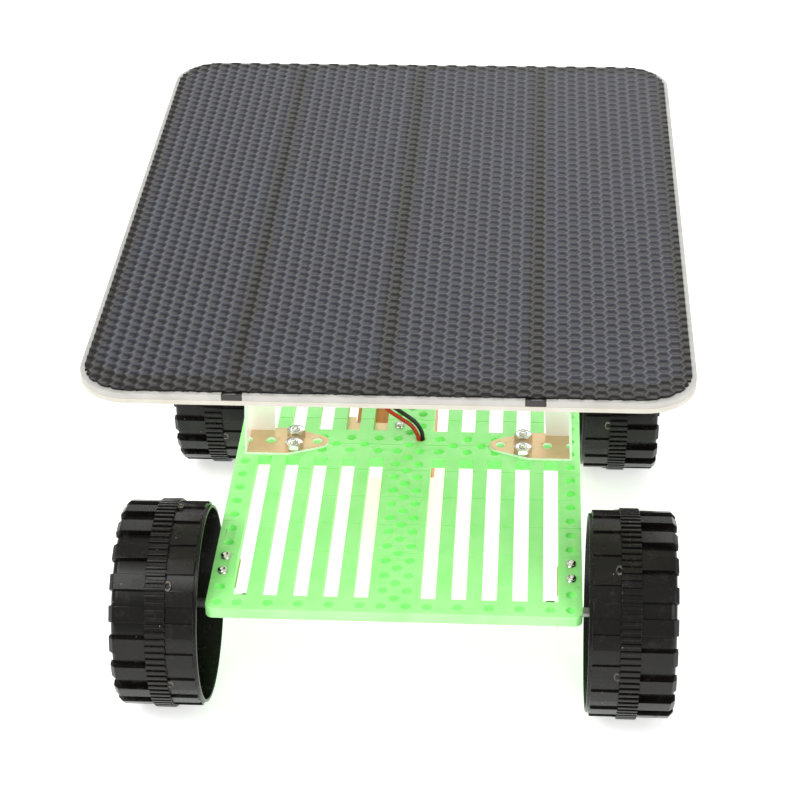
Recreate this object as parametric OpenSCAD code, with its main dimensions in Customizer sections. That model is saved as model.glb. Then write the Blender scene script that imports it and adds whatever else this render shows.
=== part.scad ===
// Solar robot kit: a four-wheeled rover with a perforated chassis plate,
// a geared rear-axle drive below it and a solar panel on two sheet brackets above it.
// Millimetres. +X right, +Y to the rear, +Z up. The origin is on the ground, below the
// middle of the model. Both axles turn about lines parallel to X.

/* [Chassis plate] */
// Length of the plate, front to rear
plate_l = 119.5; // [108:0.5:144]
// Width of the plate
plate_w = 76; // [70:0.5:84]
// Thickness of the plate
plate_t = 2.4; // [1.6:0.1:3]
// Spacing of the holes along the rails and of the two middle rows
hole_pitch = 5; // [4.5:0.1:5.5]
// Diameter of the small holes
hole_d = 2.1; // [1.8:0.05:2.6]
// Width of one long slot
slot_w = 3.1; // [2.4:0.1:3.8]
// Sideways spacing of the slots
slot_pitch = 6.2; // [5.8:0.1:6.4]
// Corner radius of the plate
plate_r = 1.6; // [0.5:0.1:2]

/* [Wheels and axles] */
// Diameter over the centre band of a wheel
wheel_d = 43.6; // [37:0.2:52]
// Width of a wheel
wheel_w = 17.8; // [14.8:0.2:21.4]
// Width of the centre band
band_w = 4.1; // [3:0.1:5]
// Distance from the inner face of a wheel to the band
band_from_face = 6.3; // [5:0.1:7]
// Depth of the tread below the band
tread_depth = 1.7; // [1.2:0.1:2]
// Number of lugs around each side of the band
lugs = 20; // [12:1:28]
// Gap between the plate edge and the wheel face
wheel_gap = 1.2; // [0.8:0.1:3]
// Diameter of an axle
axle_d = 2; // [1.6:0.1:2.6]
// Radial clearance of an axle in its bracket
axle_clear = 0.05; // [0.05:0.01:0.15]
// Distance from the plate's underside down to the axles
axle_drop = 8; // [7:0.1:9.6]

/* [Sheet brackets] */
// Thickness of the sheet
sheet_t = 0.5; // [0.4:0.1:1]
// Width of every bracket, along the plate
bracket_w = 10; // [8:0.5:12]
// Clear height from the plate to the underside of the panel
panel_lift = 57; // [46:0.2:70]
// Thickness of the foam tape pads
pad_t = 1; // [0.5:0.1:2]
// Length of a panel bracket's foot, leg to tip
foot_l = 18.25; // [17:0.05:19]
// Spacing of the holes along a panel bracket's foot
foot_pitch = 5.2; // [5:0.1:5.3]
// Inward lean of a panel bracket's leg over its height
leg_lean = 2.8; // [0:0.1:4]
// Depth of the stiffening flange beside the leg
flange_l = 5.3; // [4:0.1:5.6]

/* [Screws] */
// Diameter of a screw
screw_d = 2; // [1.6:0.05:2.1]
// Diameter of a screw head
screw_head_d = 3.5; // [3:0.1:3.6]
// Height of a screw head
screw_head_h = 1.2; // [1:0.1:1.5]
// Length of screw that stands above what it clamps
screw_tip = 0.8; // [0.4:0.1:1.2]
// Width of a nut over its flats
nut_af = 3.5; // [3.2:0.1:4]
// Thickness of a nut
nut_h = 1.4; // [1.2:0.1:2]

/* [Solar panel] */
// Length of the panel, front to rear
panel_l = 144; // [125:1:175]
// Width of the panel
panel_w = 114; // [100:1:135]
// Corner radius of the panel
panel_r = 10; // [6:0.5:14]
// Thickness of the base sheet
base_t = 1; // [0.6:0.1:1.4]
// Thickness of the core board
core_t = 1.2; // [0.8:0.1:1.6]
// Thickness of the embossed cover film
cover_t = 0.5; // [0.4:0.05:0.8]
// Margin of bare board round the cover film
cover_margin = 0.9; // [0.5:0.1:2]
// Thickness of a cell strip
cell_t = 0.1; // [0.1:0.05:0.3]
// Gap between the cell strips
cell_gap = 3; // [1:0.1:5]
// Border from the panel's side to the outer cell strips
cell_side = 3.3; // [2:0.1:5]
// Border from the panel's front to the cell strips
cell_front = 6; // [3:0.1:8]
// Border from the panel's rear to the cell strips
cell_rear = 4; // [2:0.1:8]

/* [Drive] */
// Gear module
gear_m = 0.5; // [0.5:0.01:0.5]
// Teeth of the motor pinion and of the compound gear's small part
small_teeth = 10; // [10:1:11]
// Teeth of the compound gear's large part
large_teeth = 28; // [24:1:28]
// Teeth of the gear on the rear axle
axle_teeth = 24; // [20:1:24]
// Width of the axle gear and of the small teeth that drive it
slow_gear_w = 2; // [1.6:0.1:2]
// Width of the large gear
fast_gear_w = 1.7; // [1.2:0.1:1.8]
// Diameter of the motor can
motor_d = 20; // [17:0.5:20]
// Length of the motor can
motor_l = 7.2; // [6:0.1:7.2]
// Drop of the motor shaft below the rear axle
motor_drop = 3.8; // [3.8:0.1:4.5]
// Wall of the gearbox shells
shell_wall = 1.2; // [1:0.1:1.4]

/* [Leads] */
// Diameter of a lead
lead_d = 0.95; // [0.7:0.05:0.95]

/* [Hidden] */

$fn = 48;
wheel_fn = 96;

// Heights
wheel_r = wheel_d / 2;
axle_z = wheel_r;
plate_under = axle_z + axle_drop;
plate_top = plate_under + plate_t;
panel_under = plate_top + panel_lift;
base_top = panel_under + base_t;
core_top = base_top + core_t;

// Plate grid: an even number of hole rows, so that the middle falls between two of them
edge_margin = 2.25;
half_rows = floor((plate_l - 2 * edge_margin) / (2 * hole_pitch) + 0.51);
rows = 2 * half_rows;
rail_x = plate_w / 2 - edge_margin;
pair_x = hole_pitch / 2;
slot_columns = 5;
slot_out_x = rail_x - edge_margin - slot_w / 2 - 0.35;
slot_in_x = slot_out_x - (slot_columns - 1) * slot_pitch;
slot_start = hole_pitch * 1.1;
slot_end = (half_rows - 1) * hole_pitch;
web_row_x = [0, 9.9, 16.1, 22.3, 28.5];
score_depth = 0.12;
score_w = 0.3;
score_step = 2 * hole_pitch;
axle_y = (half_rows - 3) * hole_pitch;
cut = 0.01;

// Bores
bore_slack = 0.1;
sheet_bore_d = screw_d + bore_slack;
grid_bore_d = max(hole_d, sheet_bore_d);
axle_bore_d = axle_d + 2 * axle_clear;

// Axle brackets
leg_face_x = rail_x - 2.35;
leg_in_x = leg_face_x - sheet_t;
leg_tip_w = 7;

// Wheels
wheel_in_x = plate_w / 2 + wheel_gap;
tread_r = wheel_r - tread_depth;
inner_tread_r = wheel_r - 0.95;
lug_r = wheel_r - 0.5;
lip_r = wheel_r - 1.2;
mouth_r = lip_r - 0.6;
crown_drop = 0.8;
rim_wall = 1.3;
rim_r = tread_r - rim_wall;
web_t = 1.5;
web_z = wheel_w - 5;
hub_r = axle_d / 2 + 2.2;
hub_from = 4;
hub_to = wheel_w - 1;
lug_phase = 13;
axle_half_l = wheel_in_x + hub_to - 0.5;
collar_l = 2;
collar_r = axle_d / 2 + 1.2;

// Panel brackets
leg_out = rail_x + 0.5;
tip_r = 2.4;
tip_x = leg_out - foot_l + tip_r;
foot_screw_x = slot_out_x - slot_pitch;
taper_x = foot_screw_x + 1.4;
pad_under = panel_under - pad_t;
flange_inset = 0.45;

// Panel
strip_count = 4;
strip_w = (panel_w - 2 * cell_side - (strip_count - 1) * cell_gap) / strip_count;
strip_l = panel_l - cell_front - cell_rear;
strip_y = -panel_l / 2 + cell_front;
corner_cut = 4;
ribbon_w = 3.8;
ribbon_l = 2;
ribbon_x = strip_w + cell_gap;
cap_x = -16;
cap_y = 24;
cap_w = 10;
cap_l = 8;
cap_h = 2.5;

// Drive, laid out from the rear axle forwards
pressure = 25;
addendum = 0.8 * gear_m;
dedendum = 1.05 * gear_m;
backlash = 0.1;
slow_gap = gear_m * (small_teeth + axle_teeth) / 2;
fast_gap = gear_m * (small_teeth + large_teeth) / 2;
gear_tilt = asin(motor_drop / (slow_gap + fast_gap));
mid_y = axle_y - slow_gap * cos(gear_tilt);
mid_z = axle_z - slow_gap * sin(gear_tilt);
motor_y = mid_y - fast_gap * cos(gear_tilt);
motor_z = axle_z - motor_drop;
box_left = -12.6;
box_right = 4.4;
box_front = 12.2;
box_rear = axle_y + 9;
box_top = plate_under - 0.2;
box_bottom = motor_z - motor_d / 2 - shell_wall - 0.2;
box_heel = axle_z - gear_m * axle_teeth / 2 - addendum - shell_wall - 0.8;
box_split = -6.5;
nose_tilt = 35;
slow_x = box_left + shell_wall + 0.4;
fast_x = slow_x + slow_gear_w + 0.3;
can_x = -6.4;
end_cap_t = 1.2;
end_cap_x = can_x + motor_l;
terminal_x = end_cap_x + end_cap_t;
gear_pin_d = 1.5;
shaft_d = 1.5;
run_clear = 0.1;
bracket_tab_left = -16.5;
bracket_tab_right = 1.2;
bracket_front = 2.5;
bracket_leg_left = -14;
bracket_leg_right = 0.4;
bracket_leg_z = axle_z - 7;
box_screw_x = [-10.2, -2.6];
box_screw_z = axle_z + 1;
lead_bore_x = 1.9;
lead_bore_d = 2.6;
terminal_w = 1;
terminal_l = 2.6;
terminal_t = 0.6;
terminal_y = motor_y - motor_d / 2 - 0.8;
terminal_rise = 1.4;

// Lead routes, from the cap under the panel down through the plate to the motor
red_route = [
    [-16.4, 23.5, 86.7], [-16.5, 22.6, 81.4], [-16.9, 20.4, 72.4], [-16.9, 16.9, 62.9],
    [-15.2, 12.8, 53.9], [-12.2, 8.9, 46.6], [-8.4, 5.9, 41.8], [-4.9, 3.9, 39], [-2.1, 2.9, 37.4],
    [0.4, 2.4, 35.8], [1.75, 2.2, 33.6], [2.08, 2.2, 31.8], [2.08, 2.2, 29.8], [2.0, 2.5, 27.4],
    [1.95, 3.9, 23.8], [1.85, 6.9, 20.6], [1.8, 10.4, 19], [1.8, 13, 18.65], [2.05, 14.9, 18.9],
    [2.3, 16.6, 19.4]
];
black_route = [
    [-15.4, 24.4, 86.7], [-15.6, 23.4, 81.4], [-16, 21.1, 72.6], [-16.1, 17.6, 63.4],
    [-14.5, 13.6, 54.6], [-11.6, 9.7, 47.4], [-7.8, 6.6, 42.6], [-4.3, 4.7, 39.8], [-1.5, 3.7, 38.2],
    [1.1, 3.15, 36.4], [2.65, 2.9, 34], [2.92, 2.8, 31.8], [2.92, 2.8, 29.8], [2.98, 3.1, 27],
    [2.9, 4.5, 23], [2.6, 7.3, 19.5], [2.2, 10.4, 17.8], [1.95, 13, 17.35], [2.1, 14.9, 17],
    [2.3, 16.6, 16.6]
];
lead_sides = 8;
ring_steps = 3;

// Turns a shape drawn in Y and Z into a solid that runs along X from a given place
module along_x(from, length) {
    translate([from, 0, 0])
        rotate([90, 0, 90])
            linear_extrude(length)
                children();
}

// A round bar along X
module bar_x(from, length, y, z, d) {
    translate([from, y, z])
        rotate([0, 90, 0])
            cylinder(h = length, d = d);
}

// Draws its children as they are on the right, and mirrored on the left
module on_side(side) {
    if (side > 0) children();
    else mirror([1, 0, 0]) children();
}

// A flat outline with round corners, centred
module rounded_rect(w, l, r) {
    square([w - 2 * r, l], center = true);
    square([w, l - 2 * r], center = true);
    for (x = [-1, 1], y = [-1, 1])
        translate([x * (w / 2 - r), y * (l / 2 - r)])
            circle(r = r);
}

// ---- Chassis plate ----

function row_y(row) = (row - half_rows + 0.5) * hole_pitch;

module plate_holes() {
    slot_xs = [for (i = [0:slot_columns - 1]) slot_in_x + i * slot_pitch];
    for (row = [0:rows - 1], x = [-rail_x, -pair_x, pair_x, rail_x])
        translate([x, row_y(row)])
            circle(d = grid_bore_d, $fn = 24);
    for (row = [0:rows - 2])
        translate([0, row_y(row + 0.5)])
            circle(d = grid_bore_d, $fn = 24);
    for (side = [-1, 1], x = slot_xs, row = [0, half_rows - 1, half_rows, rows - 1])
        translate([side * x, row_y(row)])
            circle(d = grid_bore_d, $fn = 24);
    for (side = [-1, 1], i = [1:len(web_row_x) - 1])
        translate([side * web_row_x[i], 0])
            circle(d = grid_bore_d, $fn = 24);
    for (side = [-1, 1], end = [-1, 1], x = slot_xs)
        translate([side * x, end * (slot_start + slot_end) / 2])
            square([slot_w, slot_end - slot_start], center = true);
}

module chassis_plate() {
    color("limegreen")
        difference() {
            translate([0, 0, plate_under])
                linear_extrude(plate_t)
                    difference() {
                        rounded_rect(plate_w, plate_l, plate_r);
                        plate_holes();
                    }
            for (i = [-half_rows / 2 + 1:half_rows / 2 - 1])
                translate([-plate_w / 2 - 1, i * score_step - score_w / 2, plate_top - score_depth])
                    cube([plate_w + 2, score_w, 1]);
        }
}

// ---- Solar panel ----

module panel_base() {
    color("ivory")
        translate([0, 0, panel_under])
            linear_extrude(base_t)
                rounded_rect(panel_w, panel_l, panel_r);
}

// The core board, notched at the front for the ribbon ends
module panel_core() {
    color("gainsboro")
        translate([0, 0, base_top])
            linear_extrude(core_t)
                difference() {
                    rounded_rect(panel_w, panel_l, panel_r);
                    for (side = [-1, 1])
                        translate([side * ribbon_x - ribbon_w / 2, -panel_l / 2 - 1])
                            square([ribbon_w, ribbon_l + 1]);
                }
}

function strip_left(i) = -panel_w / 2 + cell_side + i * (strip_w + cell_gap);

// One strip of cells, its outer corners cut where it lies beside the panel's side
module strip_outline(i) {
    x0 = strip_left(i);
    x1 = x0 + strip_w;
    y0 = strip_y;
    y1 = strip_y + strip_l;
    left = i == 0 ? corner_cut : 0;
    right = i == strip_count - 1 ? corner_cut : 0;
    polygon([
        [x0 + left, y0], [x1 - right, y0], [x1, y0 + right], [x1, y1 - right],
        [x1 - right, y1], [x0 + left, y1], [x0, y1 - left], [x0, y0 + left]
    ]);
}

module cell_strip(i) {
    color("midnightblue")
        translate([0, 0, core_top])
            linear_extrude(cell_t)
                strip_outline(i);
}

module panel_cover() {
    color("darkslategray")
        difference() {
            translate([0, 0, core_top])
                linear_extrude(cover_t)
                    rounded_rect(
                        panel_w - 2 * cover_margin, panel_l - 2 * cover_margin, panel_r - cover_margin
                    );
            translate([0, 0, core_top - cut])
                linear_extrude(cell_t + cut)
                    for (i = [0:strip_count - 1])
                        strip_outline(i);
        }
}

module ribbon_end(side) {
    color("black")
        translate([side * ribbon_x - ribbon_w / 2, -panel_l / 2, base_top])
            cube([ribbon_w, ribbon_l, core_t]);
}

module junction_cap() {
    color("dimgray")
        translate([cap_x, cap_y, panel_under - cap_h])
            linear_extrude(cap_h)
                rounded_rect(cap_w, cap_l, 1.5);
}

// ---- Panel brackets ----

// Foot outline, drawn for the right side: square at the leg, tapered to a round tip
module foot_outline() {
    half_w = bracket_w / 2;
    reach = taper_x - tip_x;
    touch = atan2(half_w, reach) + acos(tip_r / norm([reach, half_w]));
    touch_x = tip_x + tip_r * cos(touch);
    touch_y = tip_r * sin(touch);
    polygon([
        [leg_out, -half_w], [taper_x, -half_w], [touch_x, -touch_y],
        [touch_x, touch_y], [taper_x, half_w], [leg_out, half_w]
    ]);
    translate([tip_x, 0])
        circle(r = tip_r);
}

// The foot's holes; the leg stands over the outermost one
module foot_holes() {
    for (i = [0, 2, 3])
        translate([tip_x + i * foot_pitch, 0])
            circle(d = sheet_bore_d);
    for (y = [-pair_x, pair_x])
        translate([foot_screw_x, y])
            circle(d = sheet_bore_d);
}

// A piece of the leaning leg: it ends at a place along Y and reaches inwards from the leg's outer face
module leaning_sheet(rear, length, reach) {
    translate([0, rear, 0])
        rotate([90, 0, 0])
            linear_extrude(length)
                polygon([
                    [leg_out, plate_top], [leg_out - leg_lean, pad_under],
                    [leg_out - leg_lean - reach, pad_under], [leg_out - reach, plate_top]
                ]);
}

module panel_bracket(side) {
    color("burlywood")
        on_side(side) {
            translate([0, 0, plate_top])
                linear_extrude(sheet_t)
                    difference() {
                        foot_outline();
                        foot_holes();
                    }
            leaning_sheet(bracket_w / 2, bracket_w, sheet_t);
            leaning_sheet(bracket_w / 2 - flange_inset, sheet_t, sheet_t + flange_l);
            translate([-leg_lean, 0, pad_under - sheet_t])
                linear_extrude(sheet_t)
                    foot_outline();
        }
}

module foam_pad(side) {
    color("white")
        on_side(side)
            translate([-leg_lean, 0, pad_under])
                linear_extrude(pad_t)
                    foot_outline();
}

// A screw standing on its head, drawn upwards from the seat of the head
module screw(length) {
    translate([0, 0, -screw_head_h])
        cylinder(h = screw_head_h, d = screw_head_d);
    translate([0, 0, -cut])
        cylinder(h = length + cut, d = screw_d);
}

module panel_screws(side) {
    color("silver")
        for (y = [-pair_x, pair_x])
            translate([side * foot_screw_x, y, plate_under])
                screw(plate_t + sheet_t + nut_h + screw_tip / 2);
}

module panel_nuts(side) {
    color("silver")
        for (y = [-pair_x, pair_x])
            translate([side * foot_screw_x, y, plate_top + sheet_t])
                difference() {
                    cylinder(h = nut_h, d = nut_af / cos(30), $fn = 6);
                    translate([0, 0, -1])
                        cylinder(h = nut_h + 2, d = screw_d);
                }
}

// ---- Axle brackets, axles and wheels ----

module axle_bracket(side, end) {
    leg_top = plate_under - sheet_t / 2;
    color("tan")
        on_side(side)
            difference() {
                union() {
                    translate([leg_in_x, end * axle_y - bracket_w / 2, plate_under - sheet_t])
                        cube([plate_w / 2 - leg_in_x, bracket_w, sheet_t]);
                    along_x(leg_in_x, sheet_t) {
                        translate([end * axle_y, axle_z])
                            circle(d = leg_tip_w);
                        translate([end * axle_y, 0])
                            polygon([
                                [-leg_tip_w / 2, axle_z], [leg_tip_w / 2, axle_z],
                                [bracket_w / 2, leg_top - 2], [bracket_w / 2, leg_top],
                                [-bracket_w / 2, leg_top], [-bracket_w / 2, leg_top - 2]
                            ]);
                    }
                }
                bar_x(leg_in_x - 1, sheet_t + 2, end * axle_y, axle_z, axle_bore_d);
                for (dy = [-pair_x, pair_x])
                    translate([rail_x, end * axle_y + dy, plate_under - sheet_t - 1])
                        cylinder(h = sheet_t + 2, d = sheet_bore_d);
            }
}

module axle_screws(side, end) {
    color("silver")
        for (dy = [-pair_x, pair_x])
            translate([side * rail_x, end * axle_y + dy, plate_under - sheet_t])
                screw(sheet_t + plate_t + screw_tip);
}

module axle(end) {
    color("silver")
        bar_x(-axle_half_l, 2 * axle_half_l, end * axle_y, axle_z, axle_d);
}

module collar(side, end) {
    start = leg_in_x - 0.2 - collar_l;
    color("black")
        on_side(side)
            difference() {
                bar_x(start, collar_l, end * axle_y, axle_z, 2 * collar_r);
                bar_x(start - 1, collar_l + 2, end * axle_y, axle_z, axle_d);
            }
}

// A ring of evenly spaced lugs that rise from a foot radius, drawn flat; the phase turns it
module lug_ring(outer, inner, phase) {
    step = 360 / lugs;
    difference() {
        polygon([
            for (i = [0:lugs - 1], edge = [[0.27, inner], [0.25, outer], [0.08, outer],
                                           [-0.08, outer], [-0.25, outer], [-0.27, inner]])
                let (a = phase + (i - edge[0]) * step)
                [edge[1] * cos(a), edge[1] * sin(a)]
        ]);
        circle(r = inner - 0.1, $fn = wheel_fn);
    }
}

// A wheel standing on its inner face, with the axle line along Z
module wheel_solid(phase) {
    shoulder = 0.6;
    band_to = band_from_face + band_w;
    crown_z = wheel_w - 0.3;
    difference() {
        union() {
            rotate_extrude($fn = wheel_fn)
                polygon([
                    [mouth_r, 0], [lip_r, 0], [lip_r, shoulder], [inner_tread_r, shoulder],
                    [inner_tread_r, band_from_face], [wheel_r, band_from_face], [wheel_r, band_to],
                    [tread_r, band_to], [tread_r, crown_z - 1.1], [tread_r - 0.3, crown_z - 0.4],
                    [tread_r - crown_drop, crown_z], [rim_r, crown_z], [rim_r, web_z + web_t],
                    [hub_r, web_z + web_t], [hub_r, hub_to], [0, hub_to], [0, hub_from],
                    [hub_r, hub_from], [hub_r, web_z], [rim_r, web_z]
                ]);
            translate([0, 0, shoulder + 0.2])
                linear_extrude(band_from_face - shoulder - 0.2 + cut)
                    lug_ring(lug_r, inner_tread_r - 0.3, phase + 180 / lugs);
            intersection() {
                translate([0, 0, band_to - cut])
                    linear_extrude(wheel_w - band_to + cut)
                        lug_ring(lug_r, rim_r + 0.3, phase);
                rotate_extrude($fn = wheel_fn)
                    polygon([
                        [0, 0], [wheel_r, 0], [wheel_r, wheel_w - 1 - (wheel_r - lug_r)],
                        [lug_r - 1, wheel_w], [0, wheel_w]
                    ]);
            }
        }
        translate([0, 0, -1])
            cylinder(h = wheel_w + 2, d = axle_d);
        for (i = [0:5])
            rotate(i * 60 + 30)
                translate([(rim_r + hub_r) / 2, 0, web_z - 1])
                    cylinder(h = web_t + 2, r = 4.2);
    }
}

module wheel(side, end) {
    color([0.1, 0.1, 0.1])
        on_side(side)
            translate([wheel_in_x, end * axle_y, axle_z])
                rotate([90, 0, 90])
                    wheel_solid(-lug_phase);
}

// ---- Drive ----

function roll_angle(r, base) = r <= base ? 0 : (sqrt(r * r - base * base) / base) * 180 / PI
    - acos(base / r);

// A spur gear outline with one tooth on the +X side
module gear_outline(teeth) {
    pitch_r = gear_m * teeth / 2;
    base = pitch_r * cos(pressure);
    root = pitch_r - dedendum;
    tip = pitch_r + addendum;
    half = 90 / teeth - backlash / 4 / pitch_r * 180 / PI;
    start = half + roll_angle(pitch_r, base);
    levels = [root, max(base, root + 0.02), (base + tip) / 2, pitch_r + addendum / 2, tip];
    polygon([
        for (i = [0:teeth - 1], side = [-1, 1], k = [0:len(levels) - 1])
            let (r = levels[side < 0 ? k : len(levels) - 1 - k])
            let (a = i * 360 / teeth + side * (start - roll_angle(r, base)))
            [r * cos(a), r * sin(a)]
    ]);
}

// A gear along X; the angle is where its first tooth points, from +Y towards +Z
module gear_x(from, width, y, z, teeth, angle) {
    translate([0, y, z])
        along_x(from, width)
            rotate(angle)
                gear_outline(teeth);
}

// The gearbox from the side; its nose slopes up in front, close below the motor can
module box_outline(inset) {
    reach = motor_d / 2 + 0.2 + shell_wall - inset;
    rise = (reach + (box_front + inset - motor_y) * sin(nose_tilt)) / cos(nose_tilt);
    nose_z = min(motor_z - rise, motor_z - lead_bore_d);
    nose_y = motor_y - reach * tan(nose_tilt / 2);
    polygon([
        [box_front + inset, nose_z], [nose_y, box_bottom + inset],
        [mid_y + 2, box_bottom + inset],
        [box_rear - inset, box_heel + inset], [box_rear - inset, box_top - inset],
        [box_front + inset, box_top - inset]
    ]);
}

module shell_bores() {
    bar_x(box_left - 1, box_right - box_left + 2, axle_y, axle_z, axle_d + 0.6);
    bar_x(box_left - 1, shell_wall + 2, mid_y, mid_z, gear_pin_d);
    for (x = box_screw_x)
        translate([x, box_front - 1, box_screw_z])
            rotate([-90, 0, 0])
                cylinder(h = shell_wall + 2, d = screw_d);
    translate([lead_bore_x, box_front - 1, motor_z])
        rotate([-90, 0, 0])
            cylinder(h = shell_wall + 2, d = lead_bore_d);
}

module gearbox_shell_left() {
    color("orange")
        difference() {
            along_x(box_left, box_split - box_left)
                box_outline(0);
            along_x(box_left + shell_wall, box_split - box_left)
                box_outline(shell_wall);
            shell_bores();
        }
}

module gearbox_shell_right() {
    color("orange")
        difference() {
            along_x(box_split, box_right - box_split)
                box_outline(0);
            along_x(box_split - 1, box_right - box_split + 1 - shell_wall)
                box_outline(shell_wall);
            shell_bores();
        }
}

module motor_bracket() {
    leg_y = box_front - sheet_t;
    color("tan")
        difference() {
            union() {
                translate([bracket_tab_left, bracket_front, plate_under - sheet_t])
                    cube([bracket_tab_right - bracket_tab_left, box_front - bracket_front, sheet_t]);
                translate([bracket_tab_left, box_front - 1, plate_under - sheet_t])
                    cube([box_left - 0.2 - bracket_tab_left, 3.2, sheet_t]);
                translate([bracket_leg_left, leg_y, bracket_leg_z])
                    cube([bracket_leg_right - bracket_leg_left, sheet_t, plate_under - bracket_leg_z]);
            }
            translate([-pair_x, row_y(half_rows + 1), plate_under - sheet_t - 1])
                cylinder(h = sheet_t + 2, d = sheet_bore_d);
            for (x = box_screw_x)
                translate([x, leg_y - 1, box_screw_z])
                    rotate([-90, 0, 0])
                        cylinder(h = sheet_t + 2, d = sheet_bore_d);
        }
}

module motor_bracket_screw() {
    color("silver")
        translate([-pair_x, row_y(half_rows + 1), plate_under - sheet_t])
            screw(sheet_t + plate_t + screw_tip);
}

module gearbox_screws() {
    color("silver")
        for (x = box_screw_x)
            translate([x, box_front - sheet_t, box_screw_z])
                rotate([-90, 0, 0])
                    screw(sheet_t + shell_wall + 0.6);
}

module motor_can() {
    color("silver")
        difference() {
            bar_x(can_x, motor_l, motor_y, motor_z, motor_d);
            bar_x(can_x - 1, motor_l + 2, motor_y, motor_z, shaft_d + 2 * run_clear);
        }
}

module motor_end_cap() {
    color("black")
        bar_x(end_cap_x, end_cap_t, motor_y, motor_z, motor_d - 1);
}

module motor_terminals() {
    color("goldenrod")
        for (side = [-1, 1])
            translate([terminal_x, terminal_y, motor_z + side * terminal_rise - terminal_w / 2])
                cube([terminal_t, terminal_l, terminal_w]);
}

module motor_shaft() {
    start = slow_x + slow_gear_w + 0.2;
    color("silver")
        bar_x(start, end_cap_x - 0.2 - start, motor_y, motor_z, shaft_d);
}

module motor_pinion() {
    toward_mid = gear_tilt;
    color("gold")
        difference() {
            gear_x(fast_x, fast_gear_w, motor_y, motor_z, small_teeth, toward_mid);
            bar_x(fast_x - 1, fast_gear_w + 2, motor_y, motor_z, shaft_d);
        }
}

// The two parts of the compound gear are turned so that each lines up with its own mate
fast_mesh_angle = gear_tilt + 180 + 180 / large_teeth;
slow_mesh_angle = gear_tilt;

module compound_gear() {
    color("white")
        difference() {
            union() {
                gear_x(fast_x, fast_gear_w, mid_y, mid_z, large_teeth, fast_mesh_angle);
                gear_x(slow_x, fast_x - slow_x + cut, mid_y, mid_z, small_teeth, slow_mesh_angle);
            }
            bar_x(slow_x - 1, 8, mid_y, mid_z, gear_pin_d + 2 * run_clear);
        }
}

module gear_pin() {
    color("silver")
        bar_x(box_left, fast_x + fast_gear_w - box_left - 0.05, mid_y, mid_z, gear_pin_d);
}

module axle_gear() {
    color("white")
        difference() {
            gear_x(slow_x, slow_gear_w, axle_y, axle_z, axle_teeth, gear_tilt + 180 + 180 / axle_teeth);
            bar_x(slow_x - 1, slow_gear_w + 2, axle_y, axle_z, axle_d);
        }
}

// ---- Leads ----

function unit(v) = v / norm(v);

// A point on the smooth curve through the route, between points i and i + 1
function on_route(p, i, t) =
    let (last = len(p) - 1)
    let (a = p[max(i - 1, 0)], b = p[i], c = p[min(i + 1, last)], d = p[min(i + 2, last)])
    0.5 * (2 * b + (c - a) * t + (2 * a - 5 * b + 4 * c - d) * t * t
        + (3 * b - a - 3 * c + d) * t * t * t);

function smooth_route(p) = [
    for (i = [0:len(p) - 2], s = [0:ring_steps - 1]) on_route(p, i, s / ring_steps),
    p[len(p) - 1]
];

module lead(route) {
    path = smooth_route(route);
    n = len(path);
    points = [
        for (i = [0:n - 1])
            let (along = i == 0 ? [0, 0, -1] : i == n - 1 ? [0, 1, 0]
                : unit(path[i + 1] - path[i - 1]))
            let (u = unit(cross(along, [1, 0, 0])), v = cross(along, u))
            for (k = [0:lead_sides - 1])
                path[i] + lead_d / 2 * (u * cos(k * 360 / lead_sides) + v * sin(k * 360 / lead_sides))
    ];
    sides = [
        for (i = [0:n - 2], k = [0:lead_sides - 1])
            let (next = (k + 1) % lead_sides)
            [i * lead_sides + k, i * lead_sides + next,
             (i + 1) * lead_sides + next, (i + 1) * lead_sides + k]
    ];
    start = [for (k = [lead_sides - 1:-1:0]) k];
    end = [for (k = [0:lead_sides - 1]) (n - 1) * lead_sides + k];
    polyhedron(points = points, faces = concat([start, end], sides), convexity = 6);
}

module lead_red() {
    color("red") lead(red_route);
}

module lead_black() {
    color([0.12, 0.12, 0.12]) lead(black_route);
}

chassis_plate();
panel_base();
panel_core();
panel_cover();
cell_strip(0);  // cell_strip_1
cell_strip(1);  // cell_strip_2
cell_strip(2);  // cell_strip_3
cell_strip(3);  // cell_strip_4
ribbon_end(-1);  // ribbon_end_left
ribbon_end(1);  // ribbon_end_right
junction_cap();
panel_bracket(-1);  // panel_bracket_left
panel_bracket(1);  // panel_bracket_right
foam_pad(-1);  // foam_pad_left
foam_pad(1);  // foam_pad_right
panel_screws(-1);  // panel_screws_left
panel_screws(1);  // panel_screws_right
panel_nuts(-1);  // panel_nuts_left
panel_nuts(1);  // panel_nuts_right
axle_bracket(-1, -1);  // axle_bracket_front_left
axle_bracket(1, -1);  // axle_bracket_front_right
axle_bracket(-1, 1);  // axle_bracket_rear_left
axle_bracket(1, 1);  // axle_bracket_rear_right
axle_screws(-1, -1);  // axle_screws_front_left
axle_screws(1, -1);  // axle_screws_front_right
axle_screws(-1, 1);  // axle_screws_rear_left
axle_screws(1, 1);  // axle_screws_rear_right
axle(-1);  // front_axle
axle(1);  // rear_axle
wheel(-1, -1);  // wheel_front_left
wheel(1, -1);  // wheel_front_right
wheel(-1, 1);  // wheel_rear_left
wheel(1, 1);  // wheel_rear_right
collar(-1, -1);  // collar_front_left
collar(1, -1);  // collar_front_right
collar(-1, 1);  // collar_rear_left
collar(1, 1);  // collar_rear_right
motor_bracket();
motor_bracket_screw();
gearbox_shell_left();
gearbox_shell_right();
gearbox_screws();
motor_can();
motor_end_cap();
motor_terminals();
motor_shaft();
motor_pinion();
compound_gear();
gear_pin();
axle_gear();
lead_red();
lead_black();
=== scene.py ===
"""A solar robot kit: looks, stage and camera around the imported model. Sizes are in millimetres."""

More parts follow.
